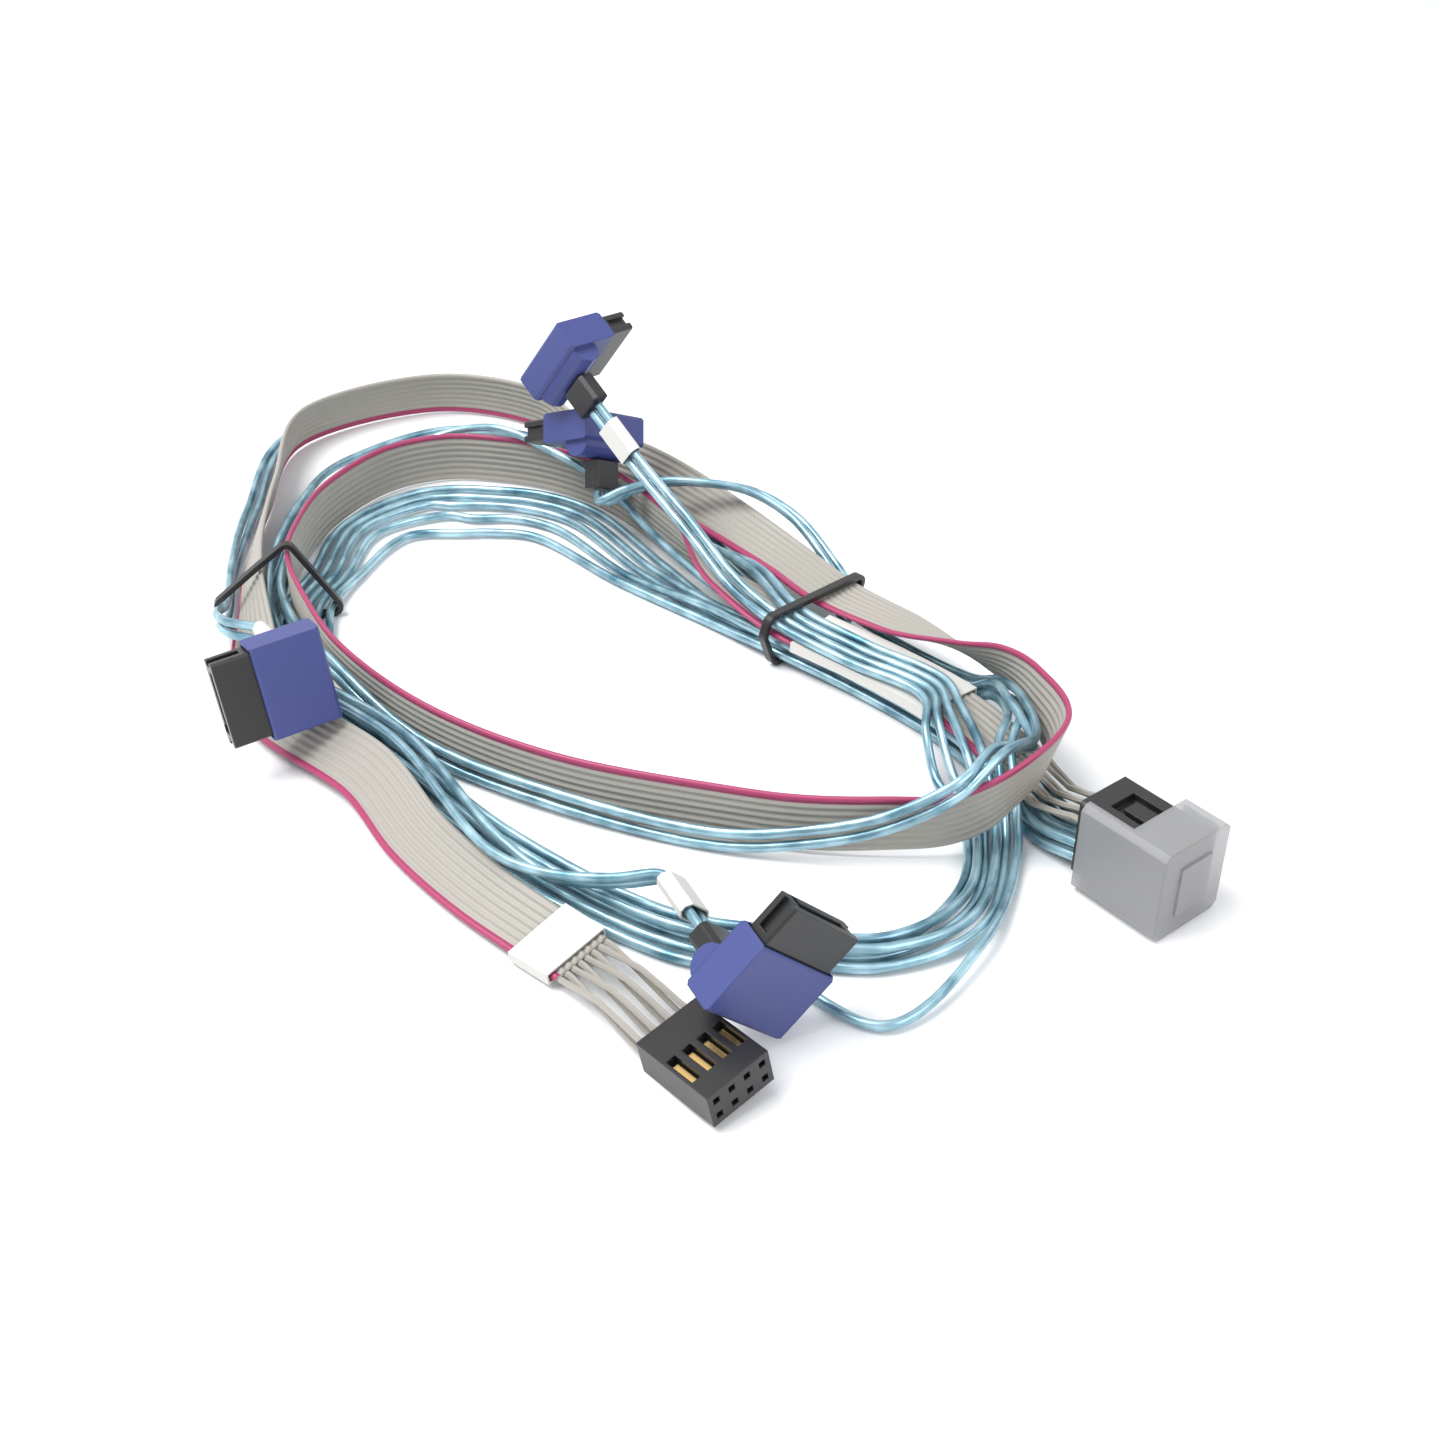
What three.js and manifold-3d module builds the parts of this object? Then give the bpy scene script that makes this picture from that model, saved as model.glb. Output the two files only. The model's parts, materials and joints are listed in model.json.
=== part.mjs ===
// A drive breakout cable: one multi-lane plug under a dust cap, four blue drive heads on pairs of
// foil-shielded strands, and a pin header on a gray ribbon, coiled in two laps and tied twice.
// Millimetres, +Z up, lying on the plane Z = 0.
import * as THREE from 'three';
import { mergeVertices } from 'three/addons/utils/BufferGeometryUtils.js';
import Module from 'manifold-3d';

const wasm = await Module();
wasm.setup();

// Place of the object's origin, under the middle of its box, in the frame the routes are drawn in
const ORIGIN = [-11.76, 15.82, 0];

// Cables
const STRAND_D = 1.4;
const STRAND_SIDES = 8;
const STRAND_STEPS = 2;
const CONDUCTORS = 8;
const CONDUCTOR_PITCH = 1.27;
const RIBBON_W = CONDUCTORS * CONDUCTOR_PITCH;
const RIBBON_T = 0.9;
const RIBBON_STEPS = 4;
const WIRE_D = 0.95;
const WIRE_SIDES = 6;
const WIRE_LEAD = 1.3;
// Plug's wires: across the plug, height of the lower row, rise to the upper row, straight end
const PLUG_WIRE_PITCH = 1.15;
const PLUG_WIRE_Z = 7.4;
const PLUG_WIRE_ROWS = 1.3;
const PLUG_WIRE_STRAIGHT = 1.6;
const HEADER_WIRE_STRAIGHT = 2;
const PLUG_WIRE_SAG = 2.1;
const HEADER_WIRE_RISE = 1.2;
const CLEARANCE = 0.3;
// How far a cutting tool stands out past the face that it opens
const OVERCUT = 1;

// Drive heads
const HEAD_W = 15.4;
const HEAD_L = 11.3;
const HEAD_T = 5.6;
const HEAD_EDGE = 0.5;
const RIDGE_R = 2.9;
const RIDGE_AT = 3.5;
const RIDGE_INSET = 1.0;
const RIDGE_RISE = 0.1;
const NOSE_W = 14.2;
const NOSE_L = 5.9;
const NOSE_SEAT = 1.2;
const NOSE_EDGE = 0.3;
const NOSE_KEY_W = 1.3;
const NOSE_KEY_SHIFT = 0.5;
const NOSE_Z = 0.7;
const NOSE_T = 4.0;
const NOSE_SLOT_W = 10.4;
const NOSE_SLOT_T = 1.4;
const NOSE_KEY_H = 2.4;
const NOSE_SLOT_DEPTH = 5.0;
const NOSE_GROOVE = 0.8;
const CONTACTS = 7;
const CONTACT_PITCH = 1.27;
const CONTACT_W = 0.6;
const CONTACT_T = 0.25;
const CONTACT_L = 4.2;
const CONTACT_BAR = 0.6;
const CONTACT_INSET = 0.5;
const BOOT_W = 6.6;
const BOOT_T = 3.6;
const BOOT_L = 5.2;
const BOOT_EDGE = 0.7;

// Header
const PIN_PITCH = 2.54;
const HEADER_COLUMNS = 4;
const HEADER_W = HEADER_COLUMNS * PIN_PITCH;
const HEADER_H = 5.3;
const HEADER_L = 14.0;
const PIN_HOLE = 1.0;
const PIN_HOLE_DEPTH = 3.2;
const WINDOW_W = 1.5;
const WINDOW_FROM = 3.4;
const WINDOW_L = 5.2;
const WINDOW_DEPTH = 1.6;
const LEAF_W = 0.9;
const LEAF_L = 4.2;
const LEAF_T = 0.35;

// Plug and its dust cap
const PLUG_W = 9.9;
const PLUG_H = 12.8;
const PLUG_L = 15.6;
const PLUG_WALL = 1.4;
const PLUG_BACK = 4;
const PLUG_EDGE = 0.4;
const RECESS_W = 5.0;
const RECESS_L = 6.6;
const RECESS_DEPTH = 1.2;
const RECESS_FROM_BACK = 3.4;
const LATCH_W = 2.6;
const LATCH_L = 4.8;
const LATCH_T = 0.7;
const BOARD_T = 1.2;
const BOARD_REACH = 2.0;
const CAP_WALL = 1.2;
// Gap between the cap and the plug at the sides, and above and below
const CAP_SIDE_GAP = 0.65;
const CAP_FACE_GAP = 0.35;
const CAP_W = PLUG_W + 2 * (CAP_WALL + CAP_SIDE_GAP);
const CAP_H = PLUG_H + 2 * CAP_WALL;
const CAP_L = 15.3;
const CAP_EDGE = 0.9;
const CAP_CUT_L = 8.0;
const CAP_CUT_W = 11.9;
const CAP_CUT_RISE = 0.5;
const CAP_PANEL_W = 6.4;
const CAP_PANEL_H = 8.2;
const CAP_PANEL_RISE = 0.35;
const CAP_PANEL_ROOT = 0.1;

// Sleeves, labels and ties
const SLEEVE_L = 7.2;
const SLEEVE_W = 5.2;
const SLEEVE_T = 2.7;
const SLEEVE_EDGE = 0.9;
const SLEEVE_WALL = 0.25;
const SLEEVE_HOLLOW_EDGE = 0.7;
const LABEL_T = 0.25;
const LABEL_GAP = 0.25;
const TIE_BAND = 1.5;
const TIE_T = 0.9;

function solidFrom(geometry) {
  const bare = geometry.clone();
  bare.deleteAttribute('normal');
  bare.deleteAttribute('uv');
  const merged = mergeVertices(bare, 1e-4);
  const mesh = new wasm.Mesh({
    numProp: 3,
    vertProperties: Float32Array.from(merged.attributes.position.array),
    triVerts: Uint32Array.from(merged.index.array),
  });
  return new wasm.Manifold(mesh);
}

function geometryFrom(solid) {
  const mesh = solid.getMesh();
  const geometry = new THREE.BufferGeometry();
  geometry.setAttribute('position', new THREE.BufferAttribute(Float32Array.from(mesh.vertProperties), 3));
  geometry.setIndex(new THREE.BufferAttribute(Uint32Array.from(mesh.triVerts), 1));
  return geometry;
}

// Box between two corners, as a solid that can be cut
function block(low, high) {
  const size = high.map((value, i) => value - low[i]);
  const geometry = new THREE.BoxGeometry(...size);
  geometry.translate(...high.map((value, i) => (value + low[i]) / 2));
  return solidFrom(geometry);
}

// Box with its upright edges rounded off by one straight chamfer
function chamferedShape(width, height, edge) {
  const w = width / 2;
  const h = height / 2;
  const shape = new THREE.Shape();
  shape.moveTo(-w + edge, -h);
  shape.lineTo(w - edge, -h);
  shape.lineTo(w, -h + edge);
  shape.lineTo(w, h - edge);
  shape.lineTo(w - edge, h);
  shape.lineTo(-w + edge, h);
  shape.lineTo(-w, h - edge);
  shape.lineTo(-w, -h + edge);
  shape.closePath();
  return shape;
}

function barAlongY(width, height, from, to, edge, centre = [0, 0]) {
  const geometry = new THREE.ExtrudeGeometry(chamferedShape(width, height, edge), {
    depth: to - from,
    bevelEnabled: false,
  });
  geometry.rotateX(Math.PI / 2);
  geometry.translate(centre[0], to, centre[1]);
  return solidFrom(geometry);
}

function barAlongX(length, height, depth, edge, centre) {
  const geometry = new THREE.ExtrudeGeometry(chamferedShape(depth, height, edge), {
    depth: length,
    bevelEnabled: false,
  });
  geometry.rotateX(Math.PI / 2);
  geometry.rotateZ(Math.PI / 2);
  geometry.translate(centre[0] - length / 2, centre[1], centre[2]);
  return solidFrom(geometry);
}

function material(colour, roughness, metalness = 0, opacity = 1) {
  return new THREE.MeshStandardMaterial({
    color: colour,
    roughness,
    metalness,
    opacity,
    transparent: opacity < 1,
  });
}

const MATERIALS = {
  foil: () => material(0x79b6cc, 0.3, 0.6),
  ribbon: () => material(0x9a958a, 0.6),
  blue: () => material(0x2c3a86, 0.5),
  black: () => material(0x232323, 0.5),
  cap: () => material(0xb9babd, 0.4, 0, 0.7),
  gold: () => material(0xc79a45, 0.3, 1),
  board: () => material(0x1e5a3a, 0.5),
  paper: () => material(0xe2e0da, 0.7),
};

const model = new THREE.Group();

function addMesh(name, geometry, look, parent = model) {
  const mesh = new THREE.Mesh(geometry, MATERIALS[look]());
  mesh.name = name;
  parent.add(mesh);
  return mesh;
}

// Group whose axes are the three directions given, at a place in the routes' frame
function placedGroup(place, xAxis, yAxis) {
  const x = new THREE.Vector3(...xAxis).normalize();
  const y = new THREE.Vector3(...yAxis);
  y.addScaledVector(x, -y.dot(x)).normalize();
  const z = new THREE.Vector3().crossVectors(x, y);
  const group = new THREE.Group();
  group.matrixAutoUpdate = true;
  group.quaternion.setFromRotationMatrix(new THREE.Matrix4().makeBasis(x, y, z));
  group.position.set(...place);
  model.add(group);
  return group;
}

// Drive head: width along X, mating direction along Y, cable side up Z
function headOvermould() {
  const main = barAlongX(HEAD_W, HEAD_T, HEAD_L, HEAD_EDGE, [0, HEAD_L / 2, HEAD_T / 2]);
  const round = new THREE.CylinderGeometry(RIDGE_R, RIDGE_R, HEAD_W - 2 * RIDGE_INSET, 16);
  round.rotateZ(Math.PI / 2);
  round.translate(0, RIDGE_AT, HEAD_T + RIDGE_RISE);
  const pocket = block(
    [-NOSE_W / 2 - CLEARANCE, HEAD_L - NOSE_SEAT, NOSE_Z - CLEARANCE],
    [NOSE_W / 2 + CLEARANCE, HEAD_L + OVERCUT, NOSE_Z + NOSE_T + CLEARANCE],
  );
  return geometryFrom(main.add(solidFrom(round)).subtract(pocket));
}

function headNose() {
  const front = HEAD_L + NOSE_L;
  const mid = NOSE_Z + NOSE_T / 2;
  const body = barAlongY(NOSE_W, NOSE_T, HEAD_L - NOSE_SEAT + CLEARANCE, front, NOSE_EDGE, [0, mid]);
  const slot = block(
    [-NOSE_SLOT_W / 2, front - NOSE_SLOT_DEPTH, mid - NOSE_SLOT_T / 2],
    [NOSE_SLOT_W / 2, front + OVERCUT, mid + NOSE_SLOT_T / 2],
  );
  const key = block(
    [NOSE_SLOT_W / 2 - NOSE_KEY_W, front - NOSE_SLOT_DEPTH, mid - NOSE_KEY_H / 2 + NOSE_KEY_SHIFT],
    [NOSE_SLOT_W / 2, front + OVERCUT, mid + NOSE_KEY_H / 2 + NOSE_KEY_SHIFT],
  );
  let nose = body.subtract(slot).subtract(key);
  for (const side of [-1, 1]) {
    const x = side * NOSE_W / 2;
    nose = nose.subtract(block(
      [x - NOSE_GROOVE, HEAD_L + OVERCUT, mid - NOSE_GROOVE],
      [x + NOSE_GROOVE, front + OVERCUT, mid + NOSE_GROOVE],
    ));
  }
  return geometryFrom(nose);
}

function headContacts() {
  const front = HEAD_L + NOSE_L;
  const z = NOSE_Z + NOSE_T / 2 - NOSE_SLOT_T / 2 + CLEARANCE / 2;
  const strips = [];
  for (let i = 0; i < CONTACTS; i += 1) {
    const strip = new THREE.BoxGeometry(CONTACT_W, CONTACT_L, CONTACT_T);
    const x = (i - (CONTACTS - 1) / 2) * CONTACT_PITCH;
    strip.translate(x, front - CONTACT_INSET - CONTACT_L / 2, z + CONTACT_T / 2);
    strips.push(solidFrom(strip));
  }
  const bar = new THREE.BoxGeometry(CONTACTS * CONTACT_PITCH, CONTACT_BAR, CONTACT_T);
  bar.translate(0, front - CONTACT_INSET - CONTACT_L + CONTACT_BAR / 2, z + CONTACT_T / 2);
  return geometryFrom(wasm.Manifold.union([...strips, solidFrom(bar)]));
}

function headBoot() {
  const from = HEAD_T + RIDGE_RISE + RIDGE_R + CLEARANCE;
  const shape = chamferedShape(BOOT_W, BOOT_T, BOOT_EDGE);
  const boot = new THREE.ExtrudeGeometry(shape, { depth: BOOT_L, bevelEnabled: false });
  boot.translate(0, RIDGE_AT, from);
  return boot;
}

// End of a head's boot, measured up from its broad face
const BOOT_END = HEAD_T + RIDGE_RISE + RIDGE_R + CLEARANCE + BOOT_L;

const HEADS = [
  { place: [-33.3, 63.4, 37.3], x: [-0.499, 0.298, -0.814], y: [0.639, 0.760, -0.114] },
  { place: [-60.2, -9.8, 15.9], x: [0.159, -0.163, -0.974], y: [-0.856, -0.514, -0.054] },
  { place: [2.9, -77.2, 6.3], x: [-0.607, -0.372, 0.702], y: [0.646, 0.282, 0.709] },
  { place: [-19.6, 65.9, 24.0], x: [-0.66, -0.61, 0.43], y: [-0.747, 0.54, -0.379] },
];

function addHeads() {
  const shapes = {
    overmould: [headOvermould(), 'blue'],
    nose: [headNose(), 'black'],
    contacts: [headContacts(), 'gold'],
    boot: [headBoot(), 'black'],
  };
  HEADS.forEach((head, i) => {
    const group = placedGroup(head.place, head.x, head.y);
    for (const [piece, [geometry, look]] of Object.entries(shapes)) {
      addMesh(`head_${i + 1}_${piece}`, geometry.clone(), look, group);
    }
  });
}

// Header: columns along X, mating face at Y = 0, wires leave at Y = HEADER_L
function headerColumnX(column) {
  return HEADER_W / 2 + (column - (HEADER_COLUMNS - 1) / 2) * PIN_PITCH;
}

function headerHousing() {
  let housing = block([0, 0, 0], [HEADER_W, HEADER_L, HEADER_H]);
  for (let column = 0; column < HEADER_COLUMNS; column += 1) {
    const x = headerColumnX(column);
    for (const z of [HEADER_H / 2 - PIN_PITCH / 2, HEADER_H / 2 + PIN_PITCH / 2]) {
      housing = housing.subtract(block(
        [x - PIN_HOLE / 2, -OVERCUT, z - PIN_HOLE / 2],
        [x + PIN_HOLE / 2, PIN_HOLE_DEPTH, z + PIN_HOLE / 2],
      ));
    }
    housing = housing.subtract(block(
      [x - WINDOW_W / 2, WINDOW_FROM, HEADER_H - WINDOW_DEPTH],
      [x + WINDOW_W / 2, WINDOW_FROM + WINDOW_L, HEADER_H + OVERCUT],
    ));
  }
  return geometryFrom(housing);
}

function headerContact(column) {
  const leaf = new THREE.BoxGeometry(LEAF_W, LEAF_L, LEAF_T);
  leaf.translate(
    headerColumnX(column),
    WINDOW_FROM + CLEARANCE + LEAF_L / 2,
    HEADER_H - WINDOW_DEPTH + CLEARANCE + LEAF_T / 2,
  );
  return leaf;
}

const HEADER = { place: [-0.7, -89.4, 1.2], x: [0.741, 0.652, 0.157], y: [-0.649, 0.757, -0.079] };

function addHeader() {
  const group = placedGroup(HEADER.place, HEADER.x, HEADER.y);
  addMesh('header_housing', headerHousing(), 'black', group);
  for (let column = 0; column < HEADER_COLUMNS; column += 1) {
    addMesh(`header_contact_${column + 1}`, headerContact(column), 'gold', group);
  }
}

// Plug: Y runs from the mating end to the cable end, Z up, X across
function plugBody() {
  const body = barAlongY(PLUG_W, PLUG_H, 0, PLUG_L, PLUG_EDGE, [0, PLUG_H / 2]);
  const mouth = block(
    [-PLUG_W / 2 + PLUG_WALL, -OVERCUT, PLUG_WALL],
    [PLUG_W / 2 - PLUG_WALL, PLUG_L - PLUG_BACK, PLUG_H - PLUG_WALL - RECESS_DEPTH],
  );
  const recess = block(
    [-RECESS_W / 2, PLUG_L - RECESS_FROM_BACK - RECESS_L, PLUG_H - RECESS_DEPTH],
    [RECESS_W / 2, PLUG_L - RECESS_FROM_BACK, PLUG_H + OVERCUT],
  );
  return geometryFrom(body.subtract(mouth).subtract(recess));
}

function plugLatch() {
  const from = PLUG_L - RECESS_FROM_BACK - RECESS_L + CLEARANCE;
  const latch = new THREE.BoxGeometry(LATCH_W, LATCH_L, LATCH_T);
  latch.translate(0, from + LATCH_L / 2, PLUG_H - RECESS_DEPTH + CLEARANCE + LATCH_T / 2);
  return latch;
}

function plugBoard() {
  const to = PLUG_L - PLUG_BACK - CLEARANCE;
  const board = new THREE.BoxGeometry(PLUG_W - 2 * PLUG_WALL - 2 * CLEARANCE, to - BOARD_REACH, BOARD_T);
  board.translate(0, (to + BOARD_REACH) / 2, PLUG_H / 2);
  return board;
}

// Cap's inside stands round the plug, and its far wall closes the mating end
function dustCap() {
  const low = -(CAP_H - PLUG_H) / 2;
  const from = -CAP_WALL - CLEARANCE;
  const to = from + CAP_L;
  const outer = barAlongY(CAP_W, CAP_H, from, to, CAP_EDGE, [0, PLUG_H / 2]);
  const inner = block(
    [-PLUG_W / 2 - CAP_SIDE_GAP, -CLEARANCE, -CAP_FACE_GAP],
    [PLUG_W / 2 + CAP_SIDE_GAP, to + OVERCUT, PLUG_H + CAP_FACE_GAP],
  );
  const cut = block(
    [CAP_W / 2 - CAP_CUT_W, to - CAP_CUT_L, low + CAP_WALL + CAP_CUT_RISE],
    [CAP_W, to + OVERCUT, low + CAP_H + OVERCUT],
  );
  const panel = block(
    [-CAP_PANEL_W / 2, from - CAP_PANEL_RISE, PLUG_H / 2 - CAP_PANEL_H / 2],
    [CAP_PANEL_W / 2, from + CAP_PANEL_ROOT, PLUG_H / 2 + CAP_PANEL_H / 2],
  );
  return geometryFrom(outer.subtract(inner).subtract(cut).add(panel));
}

const PLUG = { place: [64.6, -49.6, 1.5], x: [0.777, 0.620, 0], y: [-0.629, 0.774, 0] };

function addPlug() {
  const group = placedGroup(PLUG.place, PLUG.x, PLUG.y);
  addMesh('plug_body', plugBody(), 'black', group);
  addMesh('plug_latch', plugLatch(), 'black', group);
  addMesh('plug_board', plugBoard(), 'board', group);
  addMesh('dust_cap', dustCap(), 'cap', group);
}

// Routes. The bundle follows a guide, twice round; each station of it is a place on the table, and each
// cable passes it at [distance to the outside, height]. The ribbon has its turn about the guide as well:
// 90 on edge with the red side up, 180 flat with the red side inward, 270 on edge with it down.
const GUIDE = {
  plug: [54.6, -37.27],
  plugNear: [49.5, -31.0],
  ribbonStart: [45.5, -19.0],
  labelEnd: [38.0, -5.0],
  labelMid: [27.0, 9.5],
  tieRight: [14.5, 21.5],
  pastTie: [4.0, 33.5],
  backRise: [-8.0, 50.0],
  backRight: [-22.0, 71.0],
  backMid: [-33.0, 79.5],
  back: [-44.0, 83.5],
  backLeft: [-55.0, 84.5],
  cornerLeft: [-65.5, 79.5],
  leftUpper: [-74.5, 64.0],
  left: [-76.5, 45.0],
  tieLeft: [-75.5, 31.0],
  underHead: [-70.0, 18.0],
  frontLeft: [-63.0, 7.0],
  frontStart: [-46.5, -10.0],
  frontMid: [-25.0, -23.5],
  front: [0.0, -31.5],
  frontHalf: [12.0, -34.2],
  frontRight: [24.0, -35.5],
  curveStart: [34.0, -35.5],
  curveFront: [42.0, -33.5],
  curve: [50.5, -23.5],
  curveBack: [48.5, -9.0],
  curveOut: [44.5, -2.5],
  curveEnd: [38.5, 2.5],
  nearTie: [26.0, 11.5],
  tieRightAgain: [14.5, 21.5],
};

// Outward direction at a station, square to the line between its two neighbours
const STATION_NAMES = Object.keys(GUIDE);
const AFTER_TIE = 'pastTie';

function outward(name) {
  const i = STATION_NAMES.indexOf(name);
  const before = GUIDE[STATION_NAMES[Math.max(i - 1, 0)]];
  const last = i === STATION_NAMES.length - 1;
  const after = last ? GUIDE[AFTER_TIE] : GUIDE[STATION_NAMES[i + 1]];
  const heading = new THREE.Vector2(after[0] - before[0], after[1] - before[1]).normalize();
  return [heading.y, -heading.x];
}

function atStation(name, offset, height) {
  const [x, y] = GUIDE[name];
  const [nx, ny] = outward(name);
  return [x + nx * offset, y + ny * offset, height];
}

// First lap, strand 1 to 8 at each station
const FIRST_LAP = {
  plug: [
    [-3.2, 3.0], [-1.05, 3.0], [1.1, 3.0], [-3.2, 5.5],
    [-1.05, 5.5], [1.1, 5.5], [3.25, 5.5], [3.25, 3.0],
  ],
  plugNear: [
    [-3.2, 1.6], [-1.05, 1.6], [1.1, 1.6], [-3.2, 4.1],
    [-1.05, 4.1], [1.1, 4.1], [3.25, 4.1], [3.25, 1.6],
  ],
  ribbonStart: [
    [-3.2, 1.3], [-1.05, 1.3], [1.1, 1.3], [-3.2, 3.8],
    [-1.05, 3.8], [1.1, 3.8], [3.25, 3.8], [3.25, 1.3],
  ],
  labelEnd: [
    [-3.7, 1.3], [-1.55, 1.3], [0.6, 1.3], [-3.7, 3.8],
    [-1.55, 3.8], [0.6, 3.8], [2.75, 3.8], [2.75, 1.3],
  ],
  labelMid: [
    [-5.2, 1.3], [-3.05, 1.3], [-0.9, 1.3], [-5.2, 3.8],
    [-3.05, 3.8], [-0.9, 3.8], [1.25, 3.8], [1.25, 1.3],
  ],
  tieRight: [
    [-6.6, 1.3], [-4.45, 1.3], [-2.3, 1.3], [-6.6, 3.8],
    [-4.45, 3.8], [-2.3, 3.8], [-0.15, 3.8], [-0.15, 1.3],
  ],
  pastTie: [
    [-8.0, 1.3], [-5.8, 1.3], [-3.6, 1.3], [-7.2, 3.8],
    [-5.2, 3.2], [-3.7, 5.2], [2.9, 3.8], [2.9, 1.3],
  ],
  backRise: [
    [-13, 1.3], [-8, 1.3], [-3, 1.3], [-10.5, 1.3],
    [-5.5, 1.3], [-3.4, 6.4], [2.5, 3.8], [2.3, 1.3],
  ],
  backRight: [
    [-18, 1.3], [-9, 1.3], [-3, 1.3], [-13, 1.3],
    [-6, 1.3], [-1.9, 8.0], [1.7, 3.8], [1.7, 1.3],
  ],
  backMid: [
    [-21.5, 1.3], [-10.5, 1.3], [-4, 1.3], [-15, 1.3],
    [-7.5, 1.3], [-2.0, 10.6], [4.6, 3.6], [4.0, 1.3],
  ],
  back: [
    [-23.5, 1.3], [-12, 1.3], [-5.5, 1.3], [-17.5, 1.3],
    [-9, 1.3], [0.0, 12.2], [10.5, 1.3], [7.0, 1.3],
  ],
  backLeft: [null, [-13, 1.3], [-6, 1.3], null, [-9.5, 1.3], [3.1, 9.0], [12, 1.3], [8, 1.3]],
  cornerLeft: [null, [-11, 1.3], [-5, 1.3], [-17, 1.3], [-8, 1.3], [3.0, 4.8], [8.6, 3.4], [6.5, 1.3]],
  leftUpper: [
    [-15.5, 1.3], [-6.3, 1.3], [-1.9, 1.3], [-9.5, 1.3],
    [-4.1, 1.3], [1.8, 5.0], [4.2, 4.2], [4.3, 1.5],
  ],
  left: [
    [-10, 1.3], [-5.6, 1.3], [-1.2, 1.3], [-7.8, 1.3],
    [-3.4, 1.3], [1.8, 4.0], [2.0, 6.8], [4.2, 1.3],
  ],
  tieLeft: [
    [-6.45, 1.3], [-2.15, 1.3], [2.15, 1.3], [-4.3, 1.3],
    [0, 1.3], [1.8, 3.9], [1.8, 6.5], [4.3, 1.3],
  ],
  underHead: [
    [-3, 1.3], [1.3, 1.3], [5.6, 1.3], [-0.5, 1.3],
    [3.45, 1.3], [1.9, 5.2], [1.9, 7.7], [7.75, 1.3],
  ],
  frontLeft: [
    [3.7, 1.3], [5.85, 1.3], [8.0, 1.3], [4.8, 3.6],
    [6.9, 3.8], [1.7, 6.0], [1.7, 8.5], [10.15, 1.3],
  ],
  frontStart: [
    [3.9, 1.3], [6.05, 1.3], [8.2, 1.3], [5.0, 3.8],
    [7.1, 3.8], [1.7, 2.0], [1.7, 4.5], [10.35, 1.3],
  ],
  frontMid: [
    [11.5, 1.3], [13.65, 1.3], [15.8, 1.3], [12.6, 3.8],
    [14.7, 3.8], [1.7, 1.8], [1.7, 4.3], [17.95, 1.3],
  ],
  front: [
    [21, 1.3], [23.1, 1.3], [25.3, 1.3], [22, 3.8],
    [24.2, 3.8], [3.0, 1.4], [3.0, 3.9], [27.6, 1.3],
  ],
  frontHalf: [
    [21, 1.3], [23.1, 1.3], [25.3, 1.3], [22, 3.8],
    [24.2, 3.8], [2.6, 3.4], [2.6, 5.9], [28.5, 1.3],
  ],
  frontRight: [
    [20.9, 1.3], [23, 1.3], [25.2, 1.3], [21.9, 3.8],
    [24.1, 3.8], [2.4, 7.0], [2.4, 9.5], [36.5, 1.3],
  ],
  curveStart: [
    [8.0, 1.2], [13.2, 1.3], [18.4, 1.9], [11.0, 2.4],
    [15.8, 2.5], [2.4, 13.2], [2.0, 15.5], [21.5, 2.7],
  ],
  curveFront: [
    [-9.5, 1.3], [-3.9, 1.3], [0.8, 1.4], [-6.6, 2.5],
    [-1.5, 2.6], [-1.6, 16.8], [-3.8, 16.2], [3.2, 2.0],
  ],
  curve: [
    [-17.5, 2.0], [-12.8, 6.6], [-8.6, 9.8], [-15.2, 3.8],
    [-10.8, 8.2], [-3.2, 13.0], [-3.5, 11.3], [-6.6, 10.3],
  ],
  curveBack: [null, null, [-3.4, 8.4], null, null, [-1.2, 11.0], [-3.8, 11.5], [-1.2, 8.4]],
  curveOut: [
    [-16.3, 6.8], [-11.1, 8.4], [-0.9, 7.0], [-13.7, 8.0],
    [-8.5, 8.4], [1.3, 8.8], [-0.9, 9.3], [1.3, 6.4],
  ],
  curveEnd: [
    [-10.2, 8.4], [-5.9, 8.4], [1.6, 1.5], [-8, 8.4],
    [-3.7, 8.4], [5.2, 4.0], [1.6, 4.0], [5.2, 1.5],
  ],
  nearTie: [
    [-8.3, 8.2], [-4.0, 8.2], [2.7, 1.4], [-6.2, 8.2],
    [-1.9, 8.2], [7.5, 3.9], [2.7, 3.9], [7.5, 1.4],
  ],
  tieRightAgain: [
    [-7.5, 7.7], [-3.2, 7.7], [2.9, 1.4], [-5.35, 7.7],
    [-1.05, 7.7], [9.6, 3.9], [2.9, 3.9], [9.6, 1.4],
  ],
};

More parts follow.
